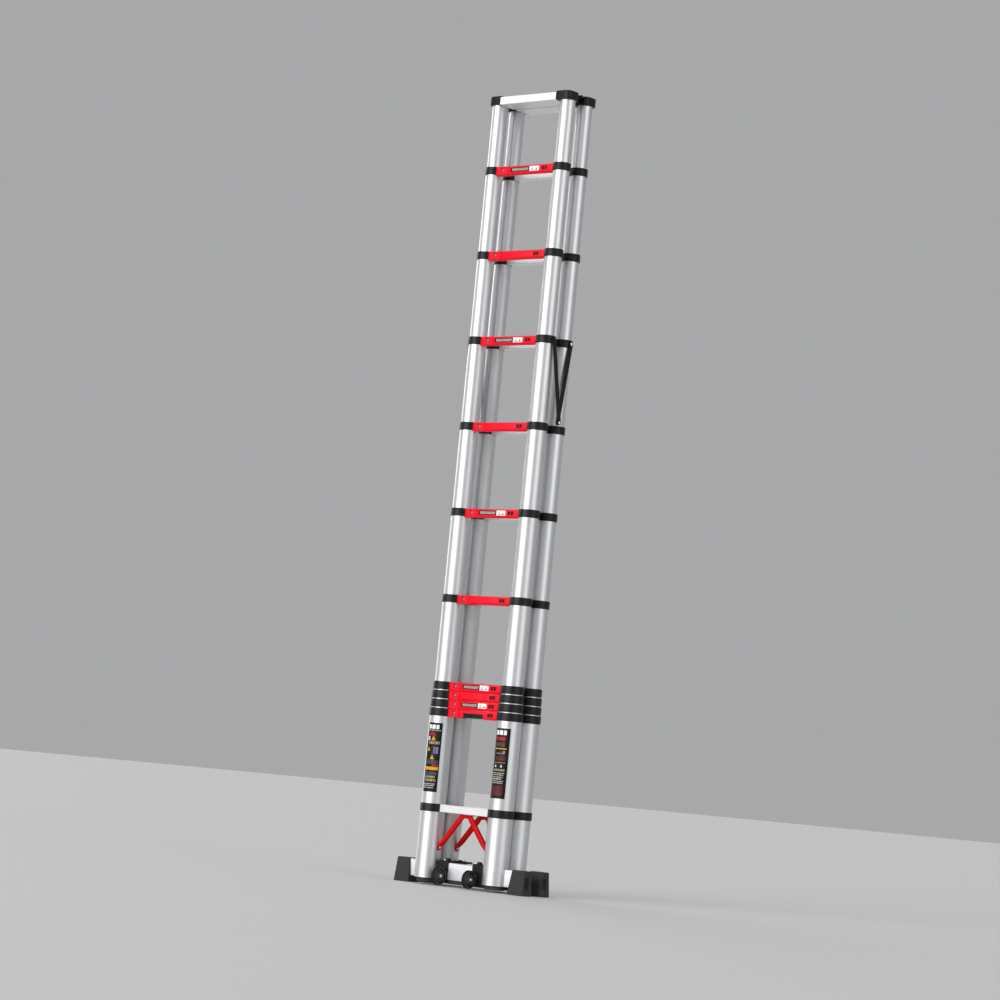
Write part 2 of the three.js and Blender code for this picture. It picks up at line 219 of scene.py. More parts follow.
class Shape:
    """One piece under construction. Points are in millimetres, in the part's frame."""

    def __init__(self, *finishes):
        self.bm = bmesh.new()
        self.finishes = list(finishes)
        self.cuts = []

    def paint(self, finish):
        """The material slot for a finish; None stands for the shape's first finish."""
        if finish is None:
            return 0
        if finish not in self.finishes:
            self.finishes.append(finish)
        return self.finishes.index(finish)

    def loft(self, rings, closed=False, finish=None):
        """Joins rings of equally many points; closed joins the last ring to the first."""
        paint = self.paint(finish)
        rows = [[self.bm.verts.new(Vector(p) * MM) for p in ring] for ring in rings]
        faces = []
        for a, b in list(zip(rows, rows[1:])) + ([(rows[-1], rows[0])] if closed else []):
            for i in range(len(a)):
                j = (i + 1) % len(a)
                faces.append(self.bm.faces.new((a[i], a[j], b[j], b[i])))
        if not closed:
            faces += [self.bm.faces.new(rows[0][::-1]), self.bm.faces.new(rows[-1])]
        for face in faces:
            face.material_index = paint
        return self

    def turn(self, centre, axis, profile, hollow=False, finish=None, steps=ROUND):
        """Turns (radius, height) steps round an axis; hollow joins the last step to the first."""
        rings = []
        for radius, height in profile:
            ring = []
            for a, b in circle(radius, steps):
                local = {"x": (height, a, b), "y": (a, height, b), "z": (a, b, height)}[axis]
                ring.append(tuple(c + l for c, l in zip(centre, local)))
            rings.append(ring)
        return self.loft(rings, hollow, finish)

    def prism(self, outline, axis, low, high, edge=0.0, finish=None):
        """Extrudes an outline along an axis, with an edge chamfer made by shrinking its ends."""
        middle = [sum(p[i] for p in outline) / len(outline) for i in (0, 1)]
        span = [max(p[i] for p in outline) - min(p[i] for p in outline) for i in (0, 1)]

        def ring(height, inset):
            scale = [1 - 2 * inset / span[i] for i in (0, 1)]
            flat = [tuple(middle[i] + (p[i] - middle[i]) * scale[i] for i in (0, 1))
                    for p in outline]
            order = {"x": lambda a, b: (height, a, b), "y": lambda a, b: (a, height, b),
                     "z": lambda a, b: (a, b, height)}[axis]
            return [order(a, b) for a, b in flat]

        rings = [ring(low, 0), ring(high, 0)]
        if edge:
            rings = [ring(low, edge), ring(low + edge, 0), ring(high - edge, 0), ring(high, edge)]
        return self.loft(rings, finish=finish)

    def box(self, x, y, z, edge=0.0, radius=0.0, finish=None):
        """A box from (low, high) pairs; radius rounds its upright edges, edge chamfers its ends."""
        outline = rounded_box(sorted(x), sorted(y), radius or 0.01, 4 if radius else 1)
        return self.prism(outline, "z", z[0], z[1], edge, finish)

    def cut(self, tool):
        """Notes another Shape to be taken away from this one by done()."""
        self.cuts.append(tool)
        return self

    def mesh_object(self, name):
        """Turns the points and faces into an object, without cuts or softened edges."""
        bmesh.ops.recalc_face_normals(self.bm, faces=self.bm.faces)
        mesh = bpy.data.meshes.new(name)
        self.bm.to_mesh(mesh)
        self.bm.free()
        for finish in self.finishes:
            mesh.materials.append(finish)
        obj = bpy.data.objects.new(name, mesh)
        bpy.context.scene.collection.objects.link(obj)
        return obj

    def done(self, name, body, slot, replaces=(), bevel=0.0, angle=32):
        """Makes the object: cuts, softens its edges, shades it and ties it to the frame."""
        obj = self.mesh_object(name)
        tools = [tool.mesh_object(name + "_tool") for tool in self.cuts]
        for tool in tools:
            cutter = obj.modifiers.new("cut", "BOOLEAN")
            cutter.object, cutter.operation, cutter.solver = tool, "DIFFERENCE", "EXACT"
        if bevel:
            soften = obj.modifiers.new("edges", "BEVEL")
            soften.width, soften.segments = bevel * MM, 2
            soften.limit_method, soften.angle_limit = "ANGLE", math.radians(40)
        if obj.modifiers:
            graph = bpy.context.evaluated_depsgraph_get()
            finished = bpy.data.meshes.new_from_object(obj.evaluated_get(graph))
            finished.name = name
            obj.modifiers.clear()
            obj.data = finished
        for tool in tools:
            bpy.data.objects.remove(tool)
        obj.data.shade_smooth()
        obj.data.set_sharp_from_angle(angle=math.radians(angle))
        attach(obj, body)
        if replaces:
            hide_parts(*replaces)
        return obj


def dome(shape, centre, axis, way, radius, height, finish=ZINC):
    """A round bolt head on a washer, standing on centre and pointing along way * axis."""
    steps = [(radius * 1.35, 0), (radius * 1.35, height * 0.22), (radius, height * 0.25)]
    steps += [(radius * math.cos(a), height * (0.4 + 0.6 * math.sin(a)))
              for a in (math.radians(d) for d in (0, 25, 50, 72, 86))]
    return shape.turn(centre, axis, [(r, way * h) for r, h in steps], finish=finish, steps=28)


# ---------------------------------------------------------------- measures from the frame

def spans(node):
    """A CAD node's (low, high) along x, y and z, in millimetres."""
    low, high = (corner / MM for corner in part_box(node))
    return [(low[i], high[i]) for i in range(3)]


def middle(span):
    """Half-way between a span's low and high."""
    return (span[0] + span[1]) / 2


left_tube = spans("front_tube_left_01")
RAIL_X = -middle(left_tube[0])
FRONT_Y = middle(left_tube[1])
REAR_Y = middle(spans("rear_stage_frame_05")[1])
MID_Y = (FRONT_Y + REAR_Y) / 2
RADIUS = [0.0] * (STAGES + 1)
TUBE_Z = [None] * (STAGES + 1)
for stage in range(1, STAGES + 1):
    (x0, x1), _, TUBE_Z[stage] = spans(f"front_tube_left_{stage:02d}")
    RADIUS[stage] = (x1 - x0) / 2 / CAD_FLAT
RUNG_Z = {stage: spans(f"front_rung_{stage:02d}")[2] for stage in range(1, STAGES)}
LOWER_Z = spans("front_lower_rung")[2]
# how far a collar stands out of its tube
COLLAR_OUT = (spans("front_rung_05")[0][1] - RAIL_X) / CAD_FLAT - RADIUS[5]
HALF_RUNG = 15.0                       # half the depth of a rung, front to back


def body_of(end, stage):
    """The body that a stage's pieces ride on."""
    return "front_base" if (end, stage) == ("front", 1) else f"{end}_stage_{stage:02d}"


def frame_node(end, front_name, stage):
    """The CAD node of a stage's piece: the rear ladder has one node for each whole stage."""
    return front_name if end == "front" else f"rear_stage_frame_{stage:02d}"


# ---------------------------------------------------------------- tubes, collars and rungs

def make_tube(end, rail_y, stage, side):
    """One round tube. The lowest ones have a slot that takes the stabiliser bar."""
    x, radius = side * RAIL_X, RADIUS[stage]
    bottom, top = TUBE_Z[stage]
    if stage < STAGES:
        top -= LIP
    edge = 0.4
    profile = [(radius, bottom + edge), (radius, top - edge), (radius - edge, top),
               (radius - WALL, top), (radius - WALL, bottom), (radius - edge, bottom)]
    tube = Shape(TUBE).turn((x, rail_y, 0), "z", profile, hollow=True)
    if stage == 1:
        _, (y0, y1), (_, z1) = BAR[end]
        reach = radius + 2
        tube.cut(Shape().box((x - reach, x + reach), (y0 - 0.4, y1 + 0.4), (bottom - 2, z1 + 0.4)))
    name = "left" if side < 0 else "right"
    node = frame_node(end, f"front_tube_{name}_{stage:02d}", stage)
    tube.done(f"{end}_{stage:02d}_tube_{name}", body_of(end, stage), "aluminium", [node], angle=40)


def collar_profile(stage, z, lipped):
    """(radius, height) points of a collar; lipped ones close in over the end of their tube."""
    radius = RADIUS[stage]
    outer, low, high = radius + COLLAR_OUT, z[0], z[1]
    steps = [(radius - 0.3, low), (outer - 0.9, low), (outer, low + 0.9), (outer, high - 1.3),
             (outer - 0.4, high - 0.4), (outer - 1.3, high)]
    if lipped:
        inner = RADIUS[stage + 1] + 0.4
        return steps + [(inner, high), (inner, high - LIP + 0.1), (radius - 0.3, high - LIP + 0.1)]
    return steps + [(radius - 0.3, high)]


def make_collars(end, rail_y, stage, z, lipped, name, nodes):
    """A rung's two collars, as one piece."""
    collars = Shape(COLLAR)
    for side in (-1, 1):
        collars.turn((side * RAIL_X, rail_y, 0), "z", collar_profile(stage, z, lipped), hollow=True)
    collars.done(name, body_of(end, stage), "black_plastic", nodes, angle=28)


def ribbed(y, z, ribs, out, corner=1.6, rib=1.0, lip=0.0):
    """Cross-section of an extruded tread or rung: (y, z) points with ribs along the top.

    lip is how far its underside runs on below the cover.
    """
    y0, y1 = y
    if lip:
        points = [(y0 + corner, z[0]), (y1 + lip, z[0]), (y1 + lip, z[0] + 1.0), (y1, z[0] + 1.0)]
    else:
        points = [(y0 + corner, z[0]), (y1 - corner, z[0]), (y1, z[0] + corner)]
    points += [(y1, z[1] - corner), (y1 - corner, z[1] - rib)]
    pitch = (y1 - y0 - 2 * corner - 2) / ribs
    for i in range(ribs):
        at = y1 - corner - 1 - pitch * (i + 0.5)
        points += [(at + pitch * 0.28, z[1] - rib), (at + pitch * 0.2, z[1]),
                   (at - pitch * 0.2, z[1]), (at - pitch * 0.28, z[1] - rib)]
    points += [(y0 + corner, z[1] - rib), (y0, z[1] - corner), (y0, z[0] + corner)]
    return [(out * a, b) for a, b in points]


def rung_reach(stage):
    """Where a rung's square end meets its collar."""
    return RAIL_X - math.sqrt((RADIUS[stage] + COLLAR_OUT) ** 2 - HALF_RUNG ** 2) + 0.2


def make_profile(end, out, rail_y, stage, z, front, name, nodes, lip=0.0):
    """A rung's aluminium profile, from collar to collar; front is where its face stands."""
    section = ribbed((-HALF_RUNG + 0.2, front), (z[0] + 0.2, z[1] - 0.3), 6, out, lip=lip)
    section = [(rail_y + y, h) for y, h in section]
    reach = rung_reach(stage)
    Shape(EXTRUDED).prism(section, "x", -reach, reach).done(
        name, body_of(end, stage), "aluminium", nodes, angle=25)


COVER_BACK = 8.5                       # back of a cover, in front of the tube plane
COVER_LOW = {"front": -1.4, "rear": 1.4}       # bottom of a cover, over its collars' bottom
ROUND_AT, SLOT_AT = 0.105, 0.85        # the windows' places along a cover, from its left end
DISC, BUTTON_R = 7.2, 4.8              # radii of the round window and of its button
SLOT = (12.0, 6.4)                     # half the width and height of the rectangular window
BLOCK_LOW = -2.9                       # bottom of the deeper block at its left end
BLOCK_SHARE = 0.19                     # the block's share of the cover's length
SKIRT_SHARE = 0.27                     # the share of the deeper edge below it
BLOCK_OUT = 5.0                        # how far the block stands out of the cover's face
RETURN_BACK = -4.0                     # how far back the cover's lower edge returns under the rung
RETURN_LOW = -2.6                      # bottom of that edge
COVER_LEVELS = [(0.0, 3.4), (4.2, 0.0), (-1.0, 0.0), (0.0, 1.0)]   # height from an end, and inset


def cover_half(stage, depth, gap=1.4):
    """Half the length of a cover at a depth in front of the tube plane."""
    return RAIL_X - math.sqrt((RADIUS[stage] + COLLAR_OUT + gap) ** 2 - depth ** 2)


def make_cover(end, out, rail_y, stage):
    """The red moulding on a rung's face: it follows the collars' curve at both ends."""
    z0, z1 = RUNG_Z[stage][0] + COVER_LOW[end], RUNG_Z[stage][1]
    heights = [z0 + 0.2, z0 + COVER_LEVELS[1][0], z1 + COVER_LEVELS[2][0] - 0.2, z1 - 0.2]
    rings = []
    for height, (_, inset) in zip(heights, COVER_LEVELS):
        depths = [COVER_BACK + (HALF_RUNG - inset - COVER_BACK) * i / 6 for i in range(7)]
        right = [(cover_half(stage, d), d) for d in depths]
        ring = right + [(-x, d) for x, d in reversed(right)]
        rings.append([(x, rail_y + out * d, height) for x, d in ring])
    cover = Shape(RED_COVER).loft(rings)
    face = rail_y + out * HALF_RUNG
    length = 2 * cover_half(stage, HALF_RUNG)
    centre_z = (RUNG_Z[stage][0] + z1) / 2 + 0.3

    def across(u):
        """x at the share u of the length, from the cover's left end."""
        return -out * (u - 0.5) * length

    round_x, slot_x = across(ROUND_AT), across(SLOT_AT)
    inward = sorted((face + out, face - out * 2.2))
    cover.cut(Shape().box((slot_x - SLOT[0], slot_x + SLOT[0]), inward,
                          (centre_z - SLOT[1], centre_z + SLOT[1])))
    if stage == 1:
        x, _, z = spans(f"{end}_release_bar")
        cover.cut(Shape().box((x[0] - 0.6, x[1] + 0.6), sorted((face + out, face - out * 8)),
                              (z[0] - 2, z[1] + 0.6)))
    body = body_of(end, stage)
    cover.done(f"{end}_{stage:02d}_cover", body, "red_plastic", bevel=0.35)
    make_cover_block(end, out, rail_y, stage, body, (round_x, centre_z))
    if end == "front" and stage > 1:
        make_cover_skirt(end, out, rail_y, stage, body)
    make_windows(end, out, stage, body, (round_x, slot_x), face, centre_z)
    if stage % 2 == 0:
        make_sticker(end, out, stage, across, face, centre_z, body)


def make_windows(end, out, stage, body, places, face, centre_z):
    """The grey button in its round window, and the slot with two black bars and a red one."""
    round_x, slot_x = places
    details = Shape(WINDOW)
    disc = [(DISC, 0), (DISC, out * 1.4)]
    details.turn((round_x, face - out * 0.1, centre_z), "y", disc, steps=36)
    button = [(BUTTON_R, 0), (BUTTON_R, out * 0.9), (4.0, out * 1.6), (0.4, out * 1.9)]
    details.turn((round_x, face + out * 1.3, centre_z), "y", button, finish=BUTTON, steps=32)
    wide, tall = SLOT[0] - 0.1, SLOT[1] - 0.1
    details.box((slot_x - wide, slot_x + wide), sorted((face - out * 2.4, face - out * 1.5)),
                (centre_z - tall, centre_z + tall), finish=BLACK)
    for step, finish in ((-1, BLACK), (0, RED_COVER), (1, BLACK)):
        x = slot_x + step * 6.5
        details.box((x - 1.2, x + 1.2), sorted((face - out * 1.6, face - out * 0.4)),
                    (centre_z - 5.0, centre_z + 5.0), 0.3, finish=finish)
    details.done(f"{end}_{stage:02d}_windows", body, "black_plastic")


def make_cover_block(end, out, rail_y, stage, body, window):
    """The lock's block at a cover's left end, with a hole for the round window at (x, z)."""
    under = RUNG_Z[stage][0]
    low = under + (BLOCK_LOW if end == "front" and stage > 1 else COVER_LOW[end] + 0.2)
    top = RUNG_Z[stage][1] - 0.2
    inner = cover_half(stage, HALF_RUNG) * (1 - 2 * BLOCK_SHARE)
    near, far = HALF_RUNG - 2.0, HALF_RUNG + BLOCK_OUT
    curve = [(cover_half(stage, d), d) for d in (near + (far - near) * i / 5 for i in range(6))]
    rings = []
    for height, inset in ((low, 1.0), (low + 1.0, 0), (top - 1.0, 0), (top, 1.0)):
        ring = [(x - inset * 0.5, min(d, far - inset)) for x, d in curve]
        ring += [(inner, far - inset), (inner - BLOCK_OUT + inset, HALF_RUNG - 0.2),
                 (inner - BLOCK_OUT, near)]
        rings.append([(out * x, rail_y + out * d, height) for x, d in ring])
    block = Shape(RED_COVER).loft(rings)
    hole = [(DISC + 0.2, rail_y + out * (near - 2)), (DISC + 0.2, rail_y + out * (far + 2))]
    block.cut(Shape().turn((window[0], 0, window[1]), "y", hole, steps=36))
    block.done(f"{end}_{stage:02d}_cover_block", body, "red_plastic", bevel=0.3, angle=25)


def make_cover_skirt(end, out, rail_y, stage, body):
    """The edge that returns under the rung, and the deeper part of it below the block."""
    under = RUNG_Z[stage][0]
    skirt = Shape(RED_COVER)
    deeper = cover_half(stage, HALF_RUNG) * (1 - 2 * SKIRT_SHARE)
    for bottom, back, front, start in (
            (under + RETURN_LOW, RETURN_BACK, HALF_RUNG - 4.0, -cover_half(stage, 0) + 2),
            (under + BLOCK_LOW, -10.0, HALF_RUNG - 0.4, deeper)):
        depths = [back + (front - back) * i / 8 for i in range(9)]
        outer = [(cover_half(stage, d), d) for d in depths]
        rings = []
        for height, inset in ((bottom, 0.9), (bottom + 0.9, 0), (under + 0.1, 0)):
            ring = [(x - inset, d) for x, d in outer]
            ring += [(start + inset, front), (start + 9 + inset, back)]
            ring = [(x, max(back + inset, min(front - inset, d))) for x, d in ring]
            rings.append([(out * x, rail_y + out * d, height) for x, d in ring])
        skirt.loft(rings)
    skirt.done(f"{end}_{stage:02d}_cover_skirt", body, "red_plastic", angle=25)


def decal(shape, place, u, low, high, finish, lift, steps=1):
    """A thin print: place(u, v, lift) puts it, low and high are its v edges at each u."""
    edges = [u[0] + (u[1] - u[0]) * i / steps for i in range(steps + 1)]
    rings = []
    for at in edges:
        share = (at - u[0]) / (u[1] - u[0])
        v0 = low(share) if callable(low) else low
        v1 = high(share) if callable(high) else high
        rings.append([place(at, v0, 0), place(at, v1, 0), place(at, v1, lift), place(at, v0, lift)])
    return shape.loft(rings, finish=finish)


def peak(low, high):
    """The far edge of a triangle, for decal(): low at both ends and high half-way."""
    return lambda share: low + (high - low) * max(0.02, 1 - abs(2 * share - 1))


def make_sticker(end, out, stage, across, face, centre_z, body):
    """The black and white strip on every second cover, with plain marks in place of print."""
    half = 8.6

    def place(u, v, lift):
        return (across(u), face + out * (lift - 0.1), centre_z + (v - 0.5) * 2 * half)

    sticker = Shape(PRINT["black"])
    decal(sticker, place, (0.235, 0.59), 0.06, 0.94, PRINT["black"], 0.25)
    decal(sticker, place, (0.58, 0.755), 0.0, 1.0, PRINT["white"], 0.3)
    for row, (low, high) in enumerate([(0.62, 0.74), (0.44, 0.56), (0.26, 0.38)]):
        start = 0.265
        while start < 0.55:
            wide = 0.012 + 0.018 * ((row * 5 + round(start * 100) * 3) % 4) / 3
            decal(sticker, place, (start, min(start + wide, 0.56)), low, high, PRINT["grey"], 0.34)
            start += wide + 0.006
    decal(sticker, place, (0.60, 0.665), 0.3, peak(0.3, 0.8), PRINT["grey"], 0.38, 6)
    decal(sticker, place, (0.69, 0.725), 0.16, peak(0.16, 0.6), PRINT["dark"], 0.38, 4)
    decal(sticker, place, (0.60, 0.68), 0.12, 0.2, PRINT["dark"], 0.38)
    sticker.done(f"{end}_{stage:02d}_sticker", body, "black_plastic")


def make_release(end, out):
    """The black release grip in the lowest rung, with nine raised ribs."""
    x, y, z = spans(f"{end}_release_bar")
    face, back = (y[0], y[1]) if out < 0 else (y[1], y[0])
    bar = Shape(BLACK).box(x, (back, face), z, 0.8, 1.2)
    for i in range(9):
        at = x[0] + (x[1] - x[0]) * (i + 1) / 10
        bar.box((at - 1, at + 1), (face - out * 0.5, face + out * 0.5),
                (z[0] + 2.5, z[1] - 2.5), 0.2)
    bar.done(f"{end}_release_grip", f"{end}_release_bar", "black_plastic", [f"{end}_release_bar"])


# ---------------------------------------------------------------- top treads

def make_top(end, out, rail_y):
    """The wide top tread, its end caps and the knuckles of the hinge."""
    body = body_of(end, STAGES)
    node = frame_node(end, "front_top_tread", STAGES)
    cap_top = spans(node)[2][1]
    top = cap_top - 4.0
    z0, tread_half, front, back = top - 28.5, 124.0, 35.5, -41.0
    section = ribbed((back, front), (z0, top), 11, out)
    Shape(EXTRUDED).prism([(rail_y + y, h) for y, h in section], "x", -tread_half, tread_half).done(
        f"{end}_top_tread_board", body, "aluminium", [node], angle=25)

    caps = Shape(COLLAR)
    far, near, cap_low = RAIL_X + 30.5, tread_half - 1.2, cap_top - 30.0
    for side in (-1, 1):
        outline = []
        corners = [(far - 21, front - 2 - 21, 21.0), (near + 1, front - 3, 1.0),
                   (near + 1, -29.5, 1.0), (far - 21, -30.5 + 21, 21.0)]
        for turn, (cx, cy, radius) in enumerate(corners):
            for i in range(9):
                a = math.pi / 2 * (turn + i / 8)
                outline.append((cx + radius * math.cos(a), cy + radius * math.sin(a)))
        outline = [(side * x, rail_y + out * y) for x, y in outline]
        caps.prism(outline, "z", cap_low, cap_top, 1.6)
    for side in (-1, 1):
        radius = RADIUS[STAGES] + 0.1
        bore = [(radius, cap_low - 2), (radius, cap_top - 4)]
        caps.cut(Shape().turn((side * RAIL_X, rail_y, 0), "z", bore))
    caps.done(f"{end}_top_caps", body, "black_plastic", [node], angle=30)

    z = cap_top - 6.0
    start = 128.0 if out < 0 else 151.0
    knuckles = Shape(STRAP)
    for side in (-1, 1):
        x0, x1 = side * start, side * (start + 22)
        barrel = [(5.0, x0), (5.5, x0 + side * 0.5), (5.5, x1 - side * 0.5), (5.0, x1)]
        knuckles.turn((0, MID_Y, z), "x", barrel, steps=28)
        knuckles.box((x0 + side, x1 - side), (MID_Y + out * 1.5, rail_y - out * 29),
                     (z - 2.5, z + 2.5), 0.4)
        if out < 0:
            knuckles.turn((0, MID_Y, z), "x", [(2.3, x1), (2.3, side * 172.5)], steps=20)
    knuckles.done(f"{end}_hinge_knuckles", body, "black_steel")


# ---------------------------------------------------------------- labels on the lowest tubes

# rows of a label: from and to down it, from and to across it (both as shares), and colour
LABEL_ROWS = {
    "left": [
        (0.03, 0.09, 0.10, 0.86, "white"), (0.105, 0.115, 0.06, 0.92, "grey"),
        (0.27, 0.31, 0.20, 0.90, "beige"), (0.20, 0.26, 0.08, 0.28, "grey"),
        (0.35, 0.45, 0.56, 0.92, "mauve"), (0.54, 0.60, 0.12, 0.90, "dark"),
        (0.605, 0.63, 0.58, 0.92, "red"), (0.64, 0.685, 0.06, 0.94, "yellow"),
        (0.71, 0.76, 0.10, 0.88, "dark"), (0.77, 0.80, 0.10, 0.84, "beige"),
        (0.815, 0.85, 0.16, 0.90, "beige"), (0.88, 0.892, 0.06, 0.84, "grey"),
        (0.905, 0.917, 0.06, 0.80, "grey"), (0.935, 0.947, 0.06, 0.76, "grey"),
    ],
    "right": [
        (0.03, 0.095, 0.08, 0.78, "white"), (0.125, 0.175, 0.12, 0.74, "red"),
        (0.205, 0.26, 0.10, 0.78, "dark"), (0.285, 0.30, 0.08, 0.86, "yellow"),
        (0.35, 0.37, 0.16, 0.84, "mauve"), (0.40, 0.46, 0.14, 0.86, "wine"),
        (0.485, 0.495, 0.10, 0.84, "beige"), (0.58, 0.61, 0.12, 0.84, "beige"),
        (0.635, 0.645, 0.08, 0.84, "grey"), (0.66, 0.67, 0.08, 0.80, "grey"),
        (0.69, 0.70, 0.08, 0.84, "grey"), (0.715, 0.73, 0.08, 0.76, "grey"),
        (0.75, 0.76, 0.08, 0.82, "grey"), (0.775, 0.785, 0.08, 0.78, "grey"),
        (0.82, 0.96, 0.12, 0.84, "wine"),
    ],
}


def row_marks(row, start, stop, color):
    """Splits a row of a label into plain marks; solid colours stay whole."""
    if color in ("red", "wine", "yellow"):
        return [(start, stop)]
    marks, at, turn = [], start, row
    gap = 0.05 if color == "white" else 0.03
    while at < stop - 0.03:
        width = (0.19, 0.24, 0.17) if color == "white" else (0.05, 0.13, 0.08, 0.18, 0.06)
        end_at = min(at + width[turn % len(width)], stop)
        marks.append((at, end_at))
        at, turn = end_at + gap, turn + 1
    return marks


def make_label(side):
    """A tall printed label that wraps the lowest tube, with plain blocks in place of print."""
    name = "left" if side < 0 else "right"
    bottom, top = RUNG_Z[1][0] - 260.9, RUNG_Z[1][0] - 24.9
    first, last = math.radians(-29), math.radians(49)
    radius = RADIUS[1]

    def place(u, v, lift):
        angle = first + (last - first) * u
        reach = radius + lift - 0.1
        return (side * RAIL_X + reach * math.sin(angle), FRONT_Y - reach * math.cos(angle),
                top + (bottom - top) * v)

    label = Shape(PRINT["black"])
    decal(label, place, (0, 1), 0, 1, PRINT["black"], 0.3, 20)
    for row, (v0, v1, u0, u1, color) in enumerate(LABEL_ROWS[name]):
        for a, b in row_marks(row, u0, u1, color):
            decal(label, place, (a, b), v0, v1, PRINT[color], 0.4, max(2, round((b - a) * 24)))
    if side < 0:
        decal(label, place, (0.12, 0.62), 0.185,
              lambda s: 0.185 - 0.055 * math.sin(math.pi * s) - 0.002, PRINT["red"], 0.4, 12)
        for u, v in (((0.36, 0.64), (0.255, 0.19)), ((0.12, 0.34), (0.41, 0.35)),
                     ((0.38, 0.64), (0.53, 0.46))):
            decal(label, place, u, v[0], peak(*v), PRINT["yellow"], 0.45, 8)
    else:
        for u in ((0.18, 0.30), (0.56, 0.68)):
            decal(label, place, u, 0.555, peak(0.555, 0.515), PRINT["white"], 0.45, 6)
        decal(label, place, (0.62, 0.8), 0.345, peak(0.345, 0.315), PRINT["yellow"], 0.45, 6)
    label.done(f"front_label_{name}", "front_base", "black_plastic")


# ---------------------------------------------------------------- braces under the lower rung

def make_braces(end, rail_y):
    """Two flattened red tubes from a clip under the lower rung to the tubes' inner sides."""
    body = body_of(end, 1)
    node = frame_node(end, "front_brace_pair", 1)
    clip_top = LOWER_Z[0] - 0.1
    braces, bolts = Shape(RED_PAINT), Shape(ZINC)
    braces.box((-30, 30), (rail_y - 11, rail_y + 11), (clip_top - 3, clip_top), 0.5, 1.5)
    braces.box((-27, 27), (rail_y - 3, rail_y + 3), (clip_top - 13, clip_top - 2.6), 0.5, 1.0)
    eye_x = RAIL_X - RADIUS[1] - 2.3
    eye_z = clip_top - 119.3
    path = [(15, clip_top - 2), (18, clip_top - 8), (26, clip_top - 18), (58, clip_top - 57.5),
            (84, clip_top - 89.5), (96, clip_top - 103.5), (102.5, clip_top - 111),
            (eye_x - 1.5, eye_z + 4), (eye_x, eye_z)]
    sizes = [(9.5, 3.2), (10, 4.5), (10.4, 6.5), (10.4, 7.0), (10.2, 7.2), (8.0, 8.4), (5.4, 9.6),
             (2.8, 10.5), (2.0, 10.8)]
    for side in (-1, 1):
        rings = []
        for i, ((x, z), (half, deep)) in enumerate(zip(path, sizes)):
            before, after = path[max(i - 1, 0)], path[min(i + 1, len(path) - 1)]
            run = Vector((after[0] - before[0], after[1] - before[1])).normalized()
            ring = []
            for a, b in circle(1.0, 24):
                a, b = (math.copysign(abs(c) ** 0.8, c) for c in (a, b))
                ring.append((side * (x - run[1] * half * a), rail_y + deep * b,
                             z + run[0] * half * a))
            rings.append(ring)
        braces.loft(rings)
        face = side * (RAIL_X - RADIUS[1] - 0.2)
        braces.turn((face, rail_y, eye_z), "x",
                    [(9.8, 0), (11, -side * 0.8), (11, -side * 3.4), (9.8, -side * 4.2)], steps=32)
        dome(bolts, (face - side * 4.2, rail_y, eye_z), "x", -side, 4.0, 4.2)
    braces.done(f"{end}_braces", body, "red_paint", [node])
    bolts.done(f"{end}_brace_bolts", body, "aluminium")


# ---------------------------------------------------------------- stabilisers, feet and wheels

BAR = {}                               # each stabiliser bar's x, y and z, from and to
for end, rail_y in (("front", FRONT_Y), ("rear", REAR_Y)):
    BAR[end] = (spans(f"{end}_stabiliser_bar")[0], (rail_y - 4.0, rail_y + 24.0), (22.0, 80.0))
BRACKET_X = (54.0, 107.5)              # a bracket's inner and outer side, from the middle


